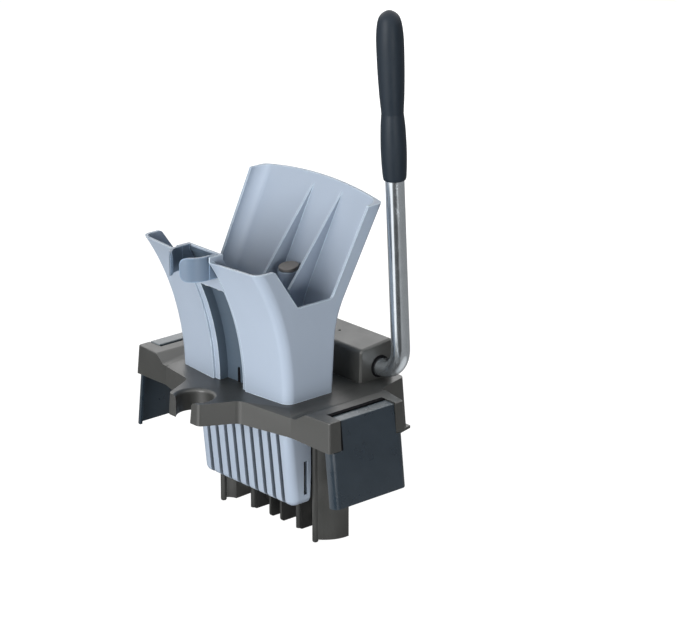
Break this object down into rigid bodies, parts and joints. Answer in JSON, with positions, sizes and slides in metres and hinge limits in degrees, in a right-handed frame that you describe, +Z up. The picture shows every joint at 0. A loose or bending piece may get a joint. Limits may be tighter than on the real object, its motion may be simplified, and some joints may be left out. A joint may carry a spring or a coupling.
{
  "type": "mop wringer",
  "caption": "Vertical press wringer that hangs on a bucket rim: funnel, slotted basket and a hinged jaw that a bent hand lever presses through cams.",
  "frame": {"origin": "middle of the base plate's underside, the plane that seats on the bucket rim", "axes": "+X to the lever side, +Y to the shaft housing at the back, +Z up"},
  "size_m": [0.335, 0.2316, 0.5798],
  "materials": {
    "blue_plastic": "satin light blue-grey",
    "clip_plastic": "satin blue-grey",
    "taupe_plastic": "satin taupe",
    "navy_plastic": "satin navy",
    "jaw_plastic": "satin taupe",
    "dark_plastic": "matt black",
    "grip_plastic": "smooth dark grip",
    "knob_plastic": "satin brown-grey",
    "bush_plastic": "natural acetal",
    "plated_steel": "bright zinc plate",
    "steel": "plain steel"
  },
  "bodies": {
    "frame": {"base_frame": "taupe_plastic", "left_leg": "taupe_plastic", "right_leg": "taupe_plastic", "leg_screws": "steel", "funnel": "blue_plastic", "strainer_basket": "blue_plastic", "basket_screws": "steel", "pole_clip": "clip_plastic", "pole_clip_screws": "steel", "shaft_housing": "taupe_plastic", "housing_screws": "steel", "left_shaft_bush": "dark_plastic", "right_shaft_bush": "dark_plastic", "left_side_panel": "navy_plastic", "right_side_panel": "navy_plastic", "side_panel_screws": "steel", "jaw_pivot_pin": "steel", "pivot_spacers": "bush_plastic", "lever_return_spring": "steel", "jaw_return_spring": "steel"},
    "lever": {"lever_tube": "plated_steel", "lever_grip": "grip_plastic", "left_cam": "dark_plastic", "right_cam": "dark_plastic", "cam_pins": "steel", "shaft_rings": "dark_plastic", "shaft_end_plug": "dark_plastic"},
    "jaw": {"press_jaw": "jaw_plastic", "jaw_bushes": "bush_plastic"},
    "lock": {"lock_knob": "knob_plastic", "lock_rod": "blue_plastic", "lock_bar": "steel"}
  },
  "joints": [
    {"name": "lever_turn", "type": "hinge", "parent": "frame", "child": "lever", "pos_m": [0, 0.078, 0.0233], "axis": [1, 0, 0], "range_deg": [0, 70], "stiffness_Nm_per_rad": 1.5, "springref_deg": -17.19},
    {"name": "jaw_swing", "type": "hinge", "parent": "frame", "child": "jaw", "pos_m": [0, 0.034, -0.15], "axis": [1, 0, 0], "range_deg": [0, 8.4]},
    {"name": "lock_turn", "type": "hinge", "parent": "frame", "child": "lock", "pos_m": [0.01, 0.01876, 0.13], "axis": [0, 0, 1], "range_deg": [0, 90]}
  ],
  "couplings": [
    {"joint": "jaw_swing", "follows": "lever_turn", "ratio": 0.12}
  ]
}
